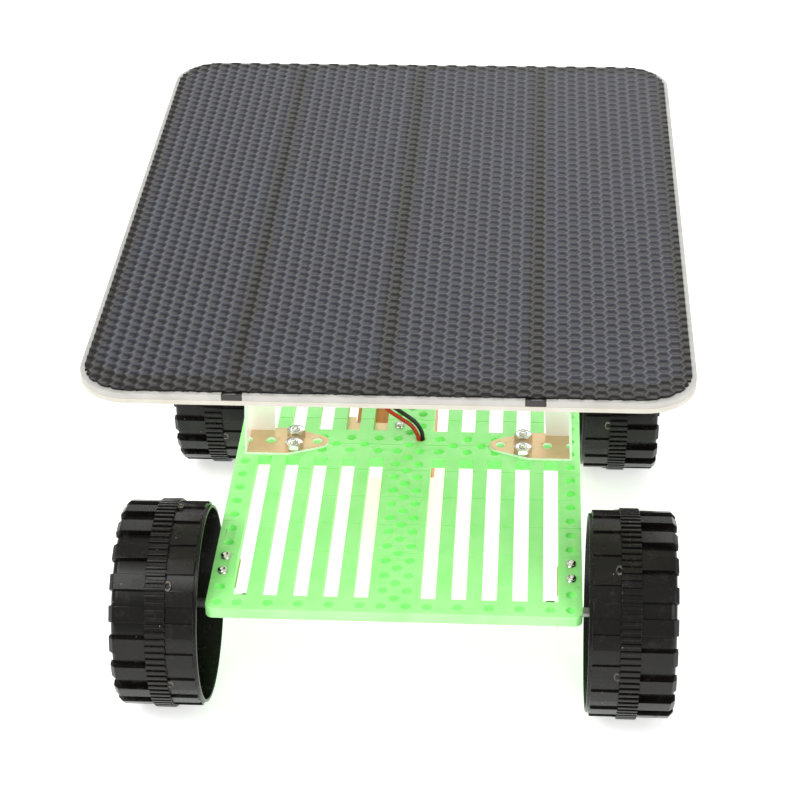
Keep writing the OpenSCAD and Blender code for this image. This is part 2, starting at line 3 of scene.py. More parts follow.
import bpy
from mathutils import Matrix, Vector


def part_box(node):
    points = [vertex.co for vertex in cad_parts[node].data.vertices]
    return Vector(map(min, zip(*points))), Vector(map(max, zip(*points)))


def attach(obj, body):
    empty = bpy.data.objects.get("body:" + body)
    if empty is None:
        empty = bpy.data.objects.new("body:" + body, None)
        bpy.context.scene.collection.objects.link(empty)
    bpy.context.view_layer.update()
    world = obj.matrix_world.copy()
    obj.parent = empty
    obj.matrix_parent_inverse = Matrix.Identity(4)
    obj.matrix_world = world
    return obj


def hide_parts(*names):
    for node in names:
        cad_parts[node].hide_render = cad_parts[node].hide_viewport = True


bl_info = {
    "name": "Solar robot kit",
    "version": (1, 0, 0),
    "blender": (4, 5, 0),
    "location": "View3D > Sidebar > Robot Kit",
    "description": "Builds a four-wheeled solar robot kit around its packed model",
    "category": "Add Mesh",
}

import math
import random

import bmesh
import bpy
from bpy.props import FloatProperty, FloatVectorProperty, IntProperty, PointerProperty
from mathutils import Matrix, Vector

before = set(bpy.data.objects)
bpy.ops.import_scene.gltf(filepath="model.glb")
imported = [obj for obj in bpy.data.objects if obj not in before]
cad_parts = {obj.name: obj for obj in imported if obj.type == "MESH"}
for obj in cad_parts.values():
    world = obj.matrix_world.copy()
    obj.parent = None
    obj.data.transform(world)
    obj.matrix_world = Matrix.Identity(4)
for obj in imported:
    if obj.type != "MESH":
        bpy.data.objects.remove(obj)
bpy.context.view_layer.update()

MM = 0.001
SIDES = ("left", "right")
ENDS = ("front", "rear")
CORNERS = [f"{end}_{side}" for end in ENDS for side in SIDES]
WHEELSET = {"front": "front_wheelset", "rear": "rear_wheelset"}

# The places that every piece is worked out from, in millimetres
FILM_LOW, FILM_HIGH = (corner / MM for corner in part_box("panel_cover"))
WHEEL_LOW, WHEEL_HIGH = (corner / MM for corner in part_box("wheel_front_right"))
WHEEL_R = (WHEEL_HIGH.z - WHEEL_LOW.z) / 2
AXLE_Z = WHEEL_LOW.z + WHEEL_R
AXLE_Y = (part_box("rear_axle")[0].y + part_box("rear_axle")[1].y) / 2 / MM

# Lead routes from the cap under the panel, through the plate, to the motor
RED_ROUTE = [
    (-16.4, 23.5, 86.7), (-16.5, 22.6, 81.4), (-16.9, 20.4, 72.4), (-16.9, 16.9, 62.9),
    (-15.2, 12.8, 53.9), (-12.2, 8.9, 46.6), (-8.4, 5.9, 41.8), (-4.9, 3.9, 39), (-2.1, 2.9, 37.4),
    (0.4, 2.4, 35.8), (1.75, 2.2, 33.6), (2.08, 2.2, 31.8), (2.08, 2.2, 29.8), (2.0, 2.5, 27.4),
    (1.95, 3.9, 23.8), (1.85, 6.9, 20.6), (1.8, 10.4, 19), (1.8, 13, 18.65), (2.05, 14.9, 18.9),
    (2.3, 16.6, 19.4),
]
BLACK_ROUTE = [
    (-15.4, 24.4, 86.7), (-15.6, 23.4, 81.4), (-16, 21.1, 72.6), (-16.1, 17.6, 63.4),
    (-14.5, 13.6, 54.6), (-11.6, 9.7, 47.4), (-7.8, 6.6, 42.6), (-4.3, 4.7, 39.8), (-1.5, 3.7, 38.2),
    (1.1, 3.15, 36.4), (2.65, 2.9, 34), (2.92, 2.8, 31.8), (2.92, 2.8, 29.8), (2.98, 3.1, 27),
    (2.9, 4.5, 23), (2.6, 7.3, 19.5), (2.2, 10.4, 17.8), (1.95, 13, 17.35), (2.1, 14.9, 17),
    (2.3, 16.6, 16.6),
]
LEAD_D = 0.95
ROUTE_STEPS = 6

# Camera place, and the way it looks
CAMERA_AT = (25.64, -403.69, 307.99)
CAMERA_PITCH = 33.116
CAMERA_YAW = -3.89
CAMERA_ROLL = -0.997
LENS = 98.82

# Soft lights: name, place and size in metres, power in watts
SOFTBOXES = (
    ("key softbox", (-0.5, -0.45, 0.9), 0.6, 6.5),
    ("fill softbox", (0.7, -0.6, 0.5), 0.7, 3.5),
    ("back softbox", (0.1, 0.9, 0.8), 0.8, 4.5),
)
SKY_STRENGTH = 0.5
FLOOR_SIZE = 8

# Fasteners
SCREW_R = 1.0
HEAD_R = 1.75
HEAD_H = 1.2
THREAD_PITCH = 0.4
THREAD_DEPTH = 0.17
CROSS_REACH = 1.1
CROSS_HALF_W = 0.18
CROSS_DEPTH = 0.5
NUT_AF = 3.5

# The film's corner radius, how far its front edge strays, and the cells' cut outer corners
FILM_RADIUS = 9.1
FILM_STRAY = (-0.1, 0.16)
CELL_CORNER_CUT = 4


# ---- Colours and materials ----


def linear(hex_colour):
    """The linear RGBA of an sRGB hex colour."""
    shares = [int(hex_colour[i:i + 2], 16) / 255 for i in (0, 2, 4)]
    curved = [s / 12.92 if s <= 0.04045 else ((s + 0.055) / 1.055) ** 2.4 for s in shares]
    return (*curved, 1.0)


def add_node(tree, kind, settings=None, values=None, links=None):
    """Adds one shader node with its settings, its socket values and its links."""
    made = tree.nodes.new(kind)
    for key, value in (settings or {}).items():
        setattr(made, key, value)
    for key, value in (values or {}).items():
        made.inputs[key].default_value = value
    for key, source in (links or {}).items():
        tree.links.new(source, made.inputs[key])
    return made


def new_surface(name, **values):
    """A material with one Principled shader, and the object coordinates for its patterns."""
    material = bpy.data.materials.new(name)
    material.use_nodes = True
    tree = material.node_tree
    shader = tree.nodes["Principled BSDF"]
    for key, value in values.items():
        shader.inputs[key.replace("_", " ")].default_value = value
    coords = add_node(tree, "ShaderNodeTexCoord").outputs["Object"]
    return material, tree, shader, coords


def clouded(tree, coords, size_mm, span, low, high, detail=3.0):
    """Two colours that drift into each other in clouds about size_mm across."""
    cloud = add_node(
        tree, "ShaderNodeTexNoise", None,
        {"Scale": 1 / (size_mm * MM), "Detail": detail, "Roughness": 0.55}, {"Vector": coords},
    )
    share = add_node(
        tree, "ShaderNodeMapRange", {"interpolation_type": "SMOOTHSTEP"},
        {"From Min": span[0], "From Max": span[1]}, {"Value": cloud.outputs["Fac"]},
    )
    return add_node(
        tree, "ShaderNodeMix", {"data_type": "RGBA"}, {6: low, 7: high}, {0: share.outputs["Result"]}
    ).outputs[2]


def textured(tree, shader, coords, size_mm, detail, depth):
    """Raises a grain about size_mm across in the surface, depth in metres; gives back its pattern."""
    grain = add_node(
        tree, "ShaderNodeTexNoise", None,
        {"Scale": 1 / (size_mm * MM), "Detail": detail, "Roughness": 0.55}, {"Vector": coords},
    ).outputs["Fac"]
    raised = add_node(
        tree, "ShaderNodeBump", None, {"Strength": 1.0, "Distance": depth}, {"Height": grain}
    )
    tree.links.new(raised.outputs["Normal"], shader.inputs["Normal"])
    return grain


def fluorescent_acrylic():
    """Cast fluorescent acrylic: it passes light, so its edges look deeper; its body glows by a faint
    even emission, painted light for the fluorescence.
    """
    colour = bpy.context.scene.kit_colours.plate
    material, tree, shader, coords = new_surface(
        "fluorescent acrylic, moulded",
        Roughness=0.38, IOR=1.49, Subsurface_Weight=0.25, Subsurface_Scale=0.0025,
        Emission_Strength=0.06,
    )
    shader.inputs["Subsurface Radius"].default_value = (0.5, 1.0, 0.35)
    # Painted light: a faint constant green glow, the same whatever light falls on the plate
    shader.inputs["Emission Color"].default_value = linear("6CFF58")
    body = clouded(tree, coords, 9.0, (0.35, 0.65), tuple(colour), linear("ACFFA0"))
    tree.links.new(body, shader.inputs["Base Color"])
    # Mould texture, drawn coarser than the real 0.05 mm so that it shows
    textured(tree, shader, coords, 0.35, 4.0, 0.00001)
    return material


def film_over(name, pit_layer_and_shade_hex, ridge_highlight_hex, blue_hex):
    """Embossed fluoropolymer film: its ridges are painted lighter by height, a painted highlight, and
    its pits show a dark layer deepened by painted shade.
    """
    sizes = bpy.context.scene.kit_sizes
    material, tree, shader, coords = new_surface(
        name, Roughness=0.36, IOR=1.4, Specular_IOR_Level=0.5,
    )
    # Colour by height: painted highlight on the ridges, painted shade in the pits over the dark
    # layer's own colour
    height = add_node(tree, "ShaderNodeSeparateXYZ", links={0: coords}).outputs["Z"]
    top = FILM_HIGH.z * MM
    share = add_node(
        tree, "ShaderNodeMapRange", {"interpolation_type": "SMOOTHSTEP"},
        {"From Min": top - sizes.film_relief * MM, "From Max": top}, {"Value": height},
    ).outputs["Result"]
    pit = clouded(tree, coords, 14.0, (0.35, 0.7), linear(pit_layer_and_shade_hex), linear(blue_hex), 2.0)
    body = add_node(
        tree, "ShaderNodeMix", {"data_type": "RGBA"}, {7: linear(ridge_highlight_hex)}, {0: share, 6: pit}
    ).outputs[2]
    tree.links.new(body, shader.inputs["Base Color"])
    # Film grain, 0.25 mm
    textured(tree, shader, coords, 0.25, 4.0, 0.000012)
    return material


def plain_plastic(name, colour_hex, roughness, fleck_hex, grain_mm=0.3, depth=0.000008, shine=0.5):
    """A moulded plastic with its mould grain and a faint cloud in its colour."""
    material, tree, shader, coords = new_surface(
        name, Roughness=roughness, IOR=1.5, Specular_IOR_Level=shine
    )
    body = clouded(tree, coords, 6.0, (0.3, 0.7), linear(colour_hex), linear(fleck_hex))
    tree.links.new(body, shader.inputs["Base Color"])
    textured(tree, shader, coords, grain_mm, 4.0, depth)
    return material


def moulded_abs_black():
    """Black ABS from a worn mould: satin, with a fine grain, paler scuffs and a little dust."""
    material, tree, shader, coords = new_surface(
        "black ABS, moulded", IOR=1.53, Specular_IOR_Level=0.27
    )
    # Scuffs of about 2.4 mm, which are paler and less glossy
    cloud = add_node(
        tree, "ShaderNodeTexNoise", None,
        {"Scale": 1 / (2.4 * MM), "Detail": 5.0, "Roughness": 0.7}, {"Vector": coords},
    )
    scuff = add_node(
        tree, "ShaderNodeMapRange", {"interpolation_type": "SMOOTHSTEP"},
        {"From Min": 0.52, "From Max": 0.78}, {"Value": cloud.outputs["Fac"]},
    ).outputs["Result"]
    body = add_node(
        tree, "ShaderNodeMix", {"data_type": "RGBA"}, {6: linear("100E0D"), 7: linear("22201D")},
        {0: scuff},
    ).outputs[2]
    # One speck of dust in a cell of 1.7 mm, and in about a quarter of the cells
    cells = add_node(
        tree, "ShaderNodeTexVoronoi", {"feature": "F1"}, {"Scale": 1 / (1.7 * MM)},
        {"Vector": coords},
    )
    near = add_node(
        tree, "ShaderNodeMapRange", {"interpolation_type": "SMOOTHSTEP"},
        {"From Min": 0.055, "From Max": 0.03}, {"Value": cells.outputs["Distance"]},
    ).outputs["Result"]
    lot = add_node(tree, "ShaderNodeSeparateXYZ", links={0: cells.outputs["Color"]}).outputs["X"]
    chosen = add_node(
        tree, "ShaderNodeMapRange", {"interpolation_type": "SMOOTHSTEP"},
        {"From Min": 0.72, "From Max": 0.74}, {"Value": lot},
    ).outputs["Result"]
    speck = add_node(
        tree, "ShaderNodeMath", {"operation": "MULTIPLY"}, links={0: near, 1: chosen}
    ).outputs[0]
    dusty = add_node(
        tree, "ShaderNodeMix", {"data_type": "RGBA"}, {7: linear("CFC9C2")}, {0: speck, 6: body}
    ).outputs[2]
    tree.links.new(dusty, shader.inputs["Base Color"])
    gloss = add_node(
        tree, "ShaderNodeMapRange", None, {"To Min": 0.24, "To Max": 0.44}, {"Value": scuff}
    ).outputs["Result"]
    tree.links.new(gloss, shader.inputs["Roughness"])
    textured(tree, shader, coords, 0.28, 4.0, 0.000014)
    return material


def yellow_zinc_steel():
    """Steel sheet with a yellow zinc passivate: straw and rose clouds, fine rolling lines, and painted
    reflection on upright faces.
    """
    material, tree, shader, coords = new_surface(
        "yellow zinc plated steel sheet", Metallic=0.5, Emission_Strength=0.2
    )
    flat = clouded(tree, coords, 5.0, (0.34, 0.66), linear("DCC596"), linear("E0BB93"))
    # Painted reflection: the upright faces are painted near white, as they mirror the white
    # surroundings
    facing = add_node(tree, "ShaderNodeNewGeometry").outputs["Normal"]
    rise = add_node(tree, "ShaderNodeSeparateXYZ", links={0: facing}).outputs["Z"]
    level = add_node(
        tree, "ShaderNodeMath", {"operation": "ABSOLUTE"}, links={0: rise}
    ).outputs[0]
    lying = add_node(
        tree, "ShaderNodeMapRange", {"interpolation_type": "SMOOTHSTEP"},
        {"From Min": 0.2, "From Max": 0.8}, {"Value": level},
    ).outputs["Result"]
    straw = add_node(
        tree, "ShaderNodeMix", {"data_type": "RGBA"}, {6: linear("FFFFFB")}, {0: lying, 7: flat}
    ).outputs[2]
    tree.links.new(straw, shader.inputs["Base Color"])
    # Painted reflection: the upright faces glow white in place of the bright table they mirror, which
    # a rough metal in the panel's shade would lose
    painted_reflection_glow = add_node(
        tree, "ShaderNodeMix", {"data_type": "RGBA"}, {6: linear("FFFFFF"), 7: linear("000000")},
        {0: lying},
    ).outputs[2]
    tree.links.new(painted_reflection_glow, shader.inputs["Emission Color"])
    # Rolling lines 0.25 mm apart, drawn out along X
    drawn = add_node(
        tree, "ShaderNodeMapping", None, {"Scale": (0.12, 1.0, 1.0)}, {"Vector": coords}
    )
    rolled = textured(tree, shader, drawn.outputs["Vector"], 0.25, 3.0, 0.000006)
    gloss = add_node(
        tree, "ShaderNodeMapRange", None, {"To Min": 0.3, "To Max": 0.5}, {"Value": rolled}
    ).outputs["Result"]
    tree.links.new(gloss, shader.inputs["Roughness"])
    return material


def bright_metal(name, colour_hex, glint_hex, low, high):
    """A plated or drawn metal: even colour, with gloss that varies in streaks of 0.3 mm."""
    material, tree, shader, coords = new_surface(name, Metallic=1.0)
    streak = textured(tree, shader, coords, 0.3, 4.0, 0.000003)
    body = add_node(
        tree, "ShaderNodeMix", {"data_type": "RGBA"}, {6: linear(colour_hex), 7: linear(glint_hex)},
        {0: streak},
    ).outputs[2]
    tree.links.new(body, shader.inputs["Base Color"])
    gloss = add_node(
        tree, "ShaderNodeMapRange", None, {"To Min": low, "To Max": high}, {"Value": streak}
    ).outputs["Result"]
    tree.links.new(gloss, shader.inputs["Roughness"])
    return material


def pvc_insulation(name, colour_hex, worn_hex):
    """Extruded PVC insulation: soft gloss, with a slow change of tone along it."""
    material, tree, shader, coords = new_surface(
        name, Roughness=0.33, IOR=1.53, Subsurface_Weight=0.05, Subsurface_Scale=0.0005
    )
    body = clouded(tree, coords, 2.0, (0.3, 0.7), linear(colour_hex), linear(worn_hex))
    tree.links.new(body, shader.inputs["Base Color"])
    textured(tree, shader, coords, 0.3, 3.0, 0.000006)
    return material


def foam_tape():
    """White polyethylene foam tape: matt, with open cells of about 0.3 mm."""
    material, tree, shader, coords = new_surface("polyethylene foam tape", Roughness=0.85, IOR=1.5)
    cells = add_node(
        tree, "ShaderNodeTexVoronoi", None, {"Scale": 1 / (0.35 * MM)}, {"Vector": coords}
    ).outputs["Distance"]
    # The cells' hollows are painted darker than their rims: painted shade in the hollows
    body = add_node(
        tree, "ShaderNodeMix", {"data_type": "RGBA"}, {6: linear("CFCFC8"), 7: linear("F1F1EC")},
        {0: cells},
    ).outputs[2]
    tree.links.new(body, shader.inputs["Base Color"])
    raised = add_node(
        tree, "ShaderNodeBump", None, {"Strength": 1.0, "Distance": 0.00008}, {"Height": cells}
    )
    tree.links.new(raised.outputs["Normal"], shader.inputs["Normal"])
    return material


def studio_floor():
    """Matt white paper on a lit table, so that it stays white below the object."""
    material, tree, shader, coords = new_surface(
        "matt paper sweep", Roughness=0.95, Emission_Strength=0.6
    )
    shader.inputs["Emission Color"].default_value = linear("FFFFFF")
    tone = add_node(
        tree, "ShaderNodeTexNoise", None,
        {"Scale": 1 / (60 * MM), "Detail": 2.0, "Roughness": 0.55}, {"Vector": coords},
    ).outputs["Fac"]
    body = add_node(
        tree, "ShaderNodeMix", {"data_type": "RGBA"}, {6: linear("F6F6F5"), 7: linear("F8F8F7")},
        {0: tone},
    ).outputs[2]
    tree.links.new(body, shader.inputs["Base Color"])
    return material


MATERIALS = {}


def make_materials():
    """Makes each finish once."""
    MATERIALS.update({
        "acrylic": fluorescent_acrylic(),
        "film_cells": film_over(
            "fluoropolymer film over silicon cells", "040408", "45454D", "08091C"
        ),
        "film_border": film_over(
            "fluoropolymer film over black border", "040303", "2A2826", "080706"
        ),
        "silicon": plain_plastic("silicon wafer, etched", "12142A", 0.3, "181A38"),
        "board": plain_plastic("epoxy board, cream", "CFCBBF", 0.5, "C6C1B3", 0.4, 0.00001),
        "laminate": plain_plastic(
            "laminated board edge, milled", "BDBBB5", 0.45, "B0AEA7", 0.5, 0.00003
        ),
        "ribbon": plain_plastic(
            "ribbon lead, black lacquer", "1B1918", 0.3, "2A2623", 0.35, 0.00004
        ),
        "abs": moulded_abs_black(),
        "abs_torn": plain_plastic(
            "black ABS, torn at the gates", "4A4540", 0.6, "8E8880", 0.4, 0.00003
        ),
        "nylon_black": plain_plastic("black nylon, moulded", "1C1B1B", 0.45, "242322"),
        "zinc": yellow_zinc_steel(),
        "nickel": bright_metal("nickel plated steel", "D9D6CE", "FFFFFF", 0.1, 0.24),
        "drawn_steel": bright_metal("drawn steel rod", "C4C4C2", "C4C4C2", 0.22, 0.36),
        "brass": bright_metal("turned brass", "D9B262", "D9B262", 0.2, 0.34),
        "orange": plain_plastic(
            "ABS gearbox shell, orange", "EE8A02", 0.36, "E67C01", shine=0.2
        ),
        "acetal": plain_plastic("white acetal, moulded", "ECECE6", 0.4, "E2E2DC"),
        "pvc_red": pvc_insulation("PVC insulation, red", "D2301A", "C22412"),
        "pvc_black": pvc_insulation("PVC insulation, black", "201D1C", "2A2625"),
        "foam": foam_tape(),
        "paper": studio_floor(),
    })


# ---- Modelling helpers ----


def deselect():
    """Leaves object mode with nothing selected."""
    if bpy.context.mode != "OBJECT":
        bpy.ops.object.mode_set(mode="OBJECT")
    bpy.ops.object.select_all(action="DESELECT")


def pick(*objects):
    """Selects these objects only; the first is active."""
    deselect()
    for one in objects:
        one.select_set(True)
    bpy.context.view_layer.objects.active = objects[0]
    return objects[0]


def settle(piece):
    """Puts a piece's place, turn and scale into its mesh."""
    pick(piece)
    bpy.ops.object.transform_apply(location=True, rotation=True, scale=True)
    return piece


def edit(piece):
    """Enters edit mode on one piece with everything selected."""
    pick(piece)
    bpy.ops.object.mode_set(mode="EDIT")
    bpy.ops.mesh.select_mode(type="VERT")
    bpy.ops.mesh.select_all(action="SELECT")


def select_where(piece, mode, test):
    """In edit mode, selects the vertices, edges or faces that pass a test."""
    bpy.ops.mesh.select_all(action="DESELECT")
    bpy.ops.mesh.select_mode(type=mode)
    mesh = bmesh.from_edit_mesh(piece.data)
    parts = {"VERT": mesh.verts, "EDGE": mesh.edges, "FACE": mesh.faces}[mode]
    for part in parts:
        part.select_set(bool(test(part)))
    mesh.select_flush_mode()
    bmesh.update_edit_mesh(piece.data)


def close_up(piece):
    """Merges doubled points and turns every face outwards."""
    edit(piece)
    bpy.ops.mesh.remove_doubles(threshold=0.002 * MM)
    bpy.ops.mesh.select_all(action="SELECT")
    bpy.ops.mesh.normals_make_consistent(inside=False)
    deselect()
    return piece


def soften(piece, width, segments=2, angle=35):
    """Rounds the piece's sharp edges by a bevel of this width."""
    pick(piece)
    made = piece.modifiers.new("Edges", "BEVEL")
    made.width = width * MM
    made.segments = segments
    made.limit_method = "ANGLE"
    made.angle_limit = math.radians(angle)
    made.miter_outer = "MITER_ARC"
    made.use_clamp_overlap = True
    bpy.ops.object.modifier_apply(modifier=made.name)
    return piece


def smooth(piece, angle=40):
    """Shades smooth, with creases past an angle, and keeps the large faces flat."""
    pick(piece)
    bpy.ops.object.shade_smooth_by_angle(angle=math.radians(angle), keep_sharp_edges=True)
    weighted = piece.modifiers.new("Flat faces", "WEIGHTED_NORMAL")
    weighted.keep_sharp = True
    bpy.ops.object.modifier_apply(modifier=weighted.name)
    return piece


def joined(name, *pieces):
    """Joins pieces into the first one, under a new name."""
    pick(*pieces)
    if len(pieces) > 1:
        bpy.ops.object.join()
    pieces[0].name = name
    pieces[0].data.name = name
    return pieces[0]


def copied(piece, move=(0, 0, 0), turn=None):
    """A copy with its own mesh, moved in millimetres; turn is an angle about X, and its y and z."""
    made = piece.copy()
    made.data = piece.data.copy()
    bpy.context.collection.objects.link(made)
    if turn:
        angle, y, z = turn
        centre = Matrix.Translation(Vector((0, y, z)) * MM)
        made.data.transform(centre @ Matrix.Rotation(angle, 4, "X") @ centre.inverted())
    made.data.transform(Matrix.Translation(Vector(move) * MM))
    return made


def mirrored(piece):
    """Mirrors a piece across the middle plane, its faces outwards."""
    piece.data.transform(Matrix.Scale(-1, 4, (1, 0, 0)))
    piece.data.flip_normals()
    return piece


def dress(piece, body, materials, replaced=()):
    """Gives a finished piece its materials, its body and the CAD nodes it stands for."""
    piece.data.materials.clear()
    for key in materials:
        piece.data.materials.append(MATERIALS[key])
    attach(piece, body)
    if replaced:
        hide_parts(*replaced)
    return piece


def dress_nodes(key, *nodes):
    """Gives CAD nodes that keep their own mesh a finish."""
    for name in nodes:
        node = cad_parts[name]
        node.data.materials.clear()
        node.data.materials.append(MATERIALS[key])
        for face in node.data.polygons:
            face.material_index = 0


def from_cad(node, name):
    """A copy of a CAD node's mesh with its doubled points merged."""
    made = bpy.data.objects.new(name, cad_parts[node].data.copy())
    bpy.context.collection.objects.link(made)
    edit(made)
    bpy.ops.mesh.remove_doubles(threshold=0.002 * MM)
    deselect()
    return made


def block(low, high):
    """A box between two corners in millimetres, its place in its mesh."""
    deselect()
    low, high = Vector(low), Vector(high)
    bpy.ops.mesh.primitive_cube_add(size=1, location=(low + high) / 2 * MM)
    made = bpy.context.active_object
    made.scale = (high - low) * MM
    return settle(made)


def turned(stations, centre, axis, segments):
    """A turned piece: rings at (place along the axis, radius) drawn out in turn, with closed ends."""
    centre = Vector(centre)
    along = Vector((1, 0, 0)) if axis == "X" else Vector((0, 0, 1))
    turn = (0, math.pi / 2, 0) if axis == "X" else (0, 0, 0)
    start, radius = stations[0]
    deselect()
    bpy.ops.mesh.primitive_circle_add(
        vertices=segments, radius=radius * MM, fill_type="NOTHING",
        location=(centre + along * start) * MM, rotation=turn,
    )
    made = settle(bpy.context.active_object)
    edit(made)
    for place, wider in stations[1:]:
        step = along * (place - start) * MM
        bpy.ops.mesh.extrude_region_move(TRANSFORM_OT_translate={"value": step})
        share = wider / radius
        size = (1, share, share) if axis == "X" else (share, share, 1)
        bpy.ops.transform.resize(value=size, center_override=(centre + along * place) * MM)
        start, radius = place, wider
    bpy.ops.mesh.select_all(action="SELECT")
    bpy.ops.mesh.fill_holes(sides=0)
    deselect()
    return close_up(made)


def around(piece, count, y, z, first):
    """Copies of a piece spaced evenly round a line along X, joined into one."""
    step = 2 * math.pi / count
    copies = [copied(piece, turn=(first + i * step, y, z)) for i in range(count)]
    bpy.data.objects.remove(piece)
    return joined("ring", *copies)


# ---- Settings ----


class KitSizes(bpy.types.PropertyGroup):
    """Sizes of what the looks add, in millimetres"""

    cell_pitch: FloatProperty(
        name="Cell pitch", description="Sideways spacing of the film's honeycomb columns",
        default=2.32,
    )
    cell_row: FloatProperty(
        name="Cell row", description="Spacing of the honeycomb cells along a column", default=2.5
    )
    film_relief: FloatProperty(
        name="Film relief", description="Depth of the pits in the embossed film", default=0.36
    )
    lugs: IntProperty(name="Lugs", description="Lugs round each side of a wheel", default=20)
    ribs: IntProperty(name="Ribs", description="Ribs round the middle band of a wheel", default=90)
    edge: FloatProperty(name="Edge", description="Edge rounding of moulded pieces", default=0.22)
    sheet_edge: FloatProperty(
        name="Sheet edge", description="Edge rounding of sheet metal", default=0.12
    )


class KitColours(bpy.types.PropertyGroup):
    """Colours that a user may change"""

    plate: FloatVectorProperty(
        name="Plate", description="Body colour of the chassis plate", subtype="COLOR", size=4,
        min=0, max=1, default=linear("9EFA92"),
    )


class KitOperator:
    bl_options = {"REGISTER", "UNDO"}


# ---- Stage and leads ----


class KIT_OT_stage(KitOperator, bpy.types.Operator):
    """Add the camera, the pale floor and the soft lights"""

    bl_idname = "kit.stage"
    bl_label = "Stage"

    def camera(self):
        """A camera at its place, turned to its pitch, yaw and roll."""
        data = bpy.data.cameras.new("camera")
        camera = bpy.data.objects.new("camera", data)
        bpy.context.collection.objects.link(camera)
        data.lens = LENS
        data.sensor_width = 36
        data.clip_start = 0.01
        data.clip_end = 20
        turn = (
            Matrix.Rotation(math.radians(-CAMERA_YAW), 4, "Z")
            @ Matrix.Rotation(math.radians(90 - CAMERA_PITCH), 4, "X")
            @ Matrix.Rotation(math.radians(CAMERA_ROLL), 4, "Z")
        )
        camera.matrix_world = Matrix.Translation(Vector(CAMERA_AT) * MM) @ turn
        bpy.context.scene.camera = camera

    def light(self, name, place, size, power):
        """A square soft light that faces the middle of the object."""
        data = bpy.data.lights.new(name, "AREA")
        data.size = size
        data.energy = power
        lamp = bpy.data.objects.new(name, data)
        bpy.context.collection.objects.link(lamp)
        lamp.location = place
        aim = Vector((0, 0, 0.04)) - Vector(place)
        lamp.rotation_euler = aim.to_track_quat("-Z", "Y").to_euler()

    def execute(self, context):
        self.camera()
        deselect()
        bpy.ops.mesh.primitive_plane_add(size=FLOOR_SIZE, location=(0, 0, 0))
        floor = context.active_object
        floor.name = "floor"
        settle(floor)
        floor.data.materials.append(MATERIALS["paper"])
        for softbox in SOFTBOXES:
            self.light(*softbox)
        world = bpy.data.worlds.new("studio")
        world.use_nodes = True
        sky = world.node_tree.nodes["Background"]
        sky.inputs["Color"].default_value = linear("FFFFFF")
        sky.inputs["Strength"].default_value = SKY_STRENGTH
        context.scene.world = world
        context.scene.view_settings.view_transform = "Standard"
        return {"FINISHED"}


def smooth_route(route):
    """Points on the smooth curve through a route's own points."""
    points = [Vector(p) for p in route]
    last = len(points) - 1
    made = []
    for i in range(last):
        a, b = points[max(i - 1, 0)], points[i]
        c, d = points[i + 1], points[min(i + 2, last)]
        for step in range(ROUTE_STEPS):
            t = step / ROUTE_STEPS
            made.append(0.5 * (
                2 * b + (c - a) * t + (2 * a - 5 * b + 4 * c - d) * t * t
                + (3 * b - a - 3 * c + d) * t * t * t
            ))
    return [p * MM for p in made + [points[last]]]


class KIT_OT_leads(KitOperator, bpy.types.Operator):
    """Add the red and black leads from the panel to the motor"""

    bl_idname = "kit.leads"
    bl_label = "Leads"

    def execute(self, context):
        for tone, route in (("red", RED_ROUTE), ("black", BLACK_ROUTE)):
            path = smooth_route(route)
            curve = bpy.data.curves.new(f"lead_{tone}_wire", "CURVE")
            curve.dimensions = "3D"
            curve.bevel_depth = LEAD_D / 2 * MM
            curve.bevel_resolution = 4
            curve.use_fill_caps = True
            spline = curve.splines.new("POLY")
            spline.points.add(len(path) - 1)
            for point, place in zip(spline.points, path):
                point.co = (*place, 1)
            spline.use_smooth = True
            lead = bpy.data.objects.new(f"lead_{tone}_wire", curve)
            context.collection.objects.link(lead)
            curve.materials.append(MATERIALS[f"pvc_{tone}"])
            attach(lead, "chassis")
            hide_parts(f"lead_{tone}")
        return {"FINISHED"}


# ---- Plate and panel ----


class KIT_OT_plate(KitOperator, bpy.types.Operator):
    """Add the perforated chassis plate with rounded edges"""

    bl_idname = "kit.plate"
    bl_label = "Chassis plate"

    def execute(self, context):
        plate = from_cad("chassis_plate", "plate_moulding")
        soften(plate, context.scene.kit_sizes.edge, 2)
        smooth(plate)
        dress(plate, "chassis", ["acrylic"], ["chassis_plate"])
        return {"FINISHED"}


def outline_reach(x, y, half_x, half_y, radius):
    """The nearest point to (x, y) that lies inside a rectangle with round corners."""
    x = max(-half_x, min(half_x, x))
    y = max(-half_y, min(half_y, y))
    corner = Vector((math.copysign(half_x - radius, x), math.copysign(half_y - radius, y)))
    out = Vector((x, y)) - corner
    if out.x * corner.x > 0 and out.y * corner.y > 0 and out.length > radius:
        out = out.normalized() * radius
        return corner.x + out.x, corner.y + out.y
    return x, y


